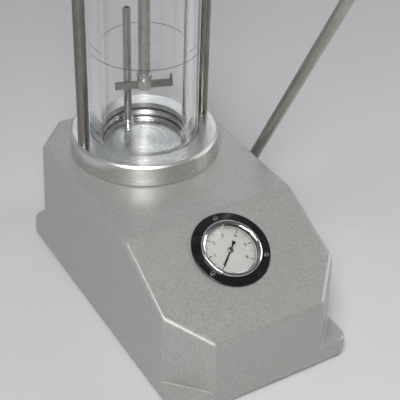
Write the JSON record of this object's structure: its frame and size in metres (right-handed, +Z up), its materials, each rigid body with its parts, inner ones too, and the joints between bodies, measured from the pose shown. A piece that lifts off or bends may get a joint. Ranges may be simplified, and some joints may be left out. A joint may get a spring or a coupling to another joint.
{
  "type": "watch pressure tester",
  "caption": "Hand-pumped watch pressure tester: cast sloping body with gauge, clear chamber between two pillars, sliding watch holder and side lever.",
  "frame": {"origin": "middle of the bounding box's bottom, on the surface the feet stand on", "axes": "+Z up along the chamber axis, -Y towards the user and the gauge, +X towards the lever"},
  "size_m": [0.2024, 0.3062, 0.4281],
  "materials": {
    "cast_paint": "cast aluminium with silver-grey textured paint",
    "turned_aluminium": "turned, satin",
    "dark_steel": "turned and brushed",
    "bright_steel": "bright plated",
    "sheet_steel": "plain sheet",
    "brass": "machined",
    "copper_pipe": "drawn pipe",
    "black_rubber": "matte",
    "black_enamel": "gloss black",
    "black_plastic": "moulded",
    "clear_acrylic": "polished clear cast acrylic",
    "gauge_window": "clear",
    "dial_white": "white enamel with printed scale"
  },
  "bodies": {
    "stand": {"housing": "cast_paint", "chamber_base": "turned_aluminium", "top_flange": "turned_aluminium", "pump_barrel": "turned_aluminium", "pump_head": "turned_aluminium", "pump_guide": "turned_aluminium", "pillar_left": "dark_steel", "pillar_right": "dark_steel", "air_tube": "dark_steel", "air_tube_nut": "dark_steel", "base_ring_nut": "dark_steel", "pillar_nut_left": "bright_steel", "pillar_nut_right": "bright_steel", "gauge_bezel": "bright_steel", "plate_screw_1": "bright_steel", "plate_screw_2": "bright_steel", "plate_screw_3": "bright_steel", "plate_screw_4": "bright_steel", "gauge_screw_1": "bright_steel", "gauge_screw_2": "bright_steel", "gauge_screw_3": "bright_steel", "bottom_plate": "sheet_steel", "gauge_stem": "brass", "shaft_bush": "brass", "manifold_block": "brass", "valve_body": "brass", "pipe_gauge": "copper_pipe", "pipe_pump": "copper_pipe", "pipe_release": "copper_pipe", "foot_1": "black_rubber", "foot_2": "black_rubber", "foot_3": "black_rubber", "foot_4": "black_rubber", "lower_gasket": "black_rubber", "upper_gasket": "black_rubber", "gauge_case": "black_enamel", "acrylic_tube": "clear_acrylic", "gauge_glass": "gauge_window", "gauge_dial": "dial_white"},
    "lid_cover": {"lid": "dark_steel", "lid_seal": "black_rubber"},
    "lock_ring_body": {"lock_ring": "turned_aluminium"},
    "gland_body": {"gland_nut": "dark_steel"},
    "holder": {"holder_rod": "dark_steel", "rod_knob": "black_plastic"},
    "holder_bar": {"holder_hub": "dark_steel", "crossbar": "dark_steel"},
    "pointer": {"gauge_pointer": "black_enamel"},
    "lever": {"lever_shaft": "dark_steel", "lever_hub": "dark_steel", "hub_screw": "bright_steel", "lever_rod": "dark_steel", "lever_knob": "black_plastic", "crank_arm": "dark_steel"},
    "pump_piston": {"piston_rod": "dark_steel", "piston": "turned_aluminium", "piston_seal": "black_rubber", "piston_yoke": "dark_steel"},
    "valve_handle": {"valve_needle": "dark_steel", "valve_knob": "black_plastic"}
  },
  "joints": [
    {"name": "lever_turn", "type": "hinge", "parent": "stand", "child": "lever", "pos_m": [0.0842, 0.05418, 0.0585], "axis": [1, 0, 0], "range_deg": [-30, 30]},
    {"name": "piston_slide", "type": "slide", "parent": "stand", "child": "pump_piston", "axis": [0, 1, 0], "range_m": [-0.0121, 0.0121]},
    {"name": "lid_lift", "type": "slide", "parent": "stand", "child": "lid_cover", "axis": [0, 0, 1], "range_m": [0, 0.06]},
    {"name": "lock_ring_turn", "type": "hinge", "parent": "lid_cover", "child": "lock_ring_body", "pos_m": [-0.0138, 0.07118, 0.3365], "axis": [0, 0, 1], "range_deg": [0, 720]},
    {"name": "gland_turn", "type": "hinge", "parent": "lid_cover", "child": "gland_body", "pos_m": [-0.0138, 0.07118, 0.3595], "axis": [0, 0, 1], "range_deg": [0, 360]},
    {"name": "holder_slide", "type": "slide", "parent": "lid_cover", "child": "holder", "axis": [0, 0, 1], "range_m": [-0.028, 0.1]},
    {"name": "holder_bar_turn", "type": "hinge", "parent": "holder", "child": "holder_bar", "pos_m": [-0.0138, 0.07118, 0.1885], "axis": [0, 0, 1], "range_deg": [-180, 180]},
    {"name": "pointer_turn", "type": "hinge", "parent": "stand", "child": "pointer", "pos_m": [-0.0138, -0.08465, 0.10338], "axis": [0, 0.44, -0.898], "range_deg": [0, 266], "stiffness_Nm_per_rad": 0.0005},
    {"name": "valve_turn", "type": "hinge", "parent": "stand", "child": "valve_handle", "pos_m": [0.0862, 0.11118, 0.062], "axis": [1, 0, 0], "range_deg": [0, 540]}
  ],
  "couplings": [
    {"joint": "piston_slide", "follows": "lever_turn", "m_per_rad": 0.022918}
  ]
}
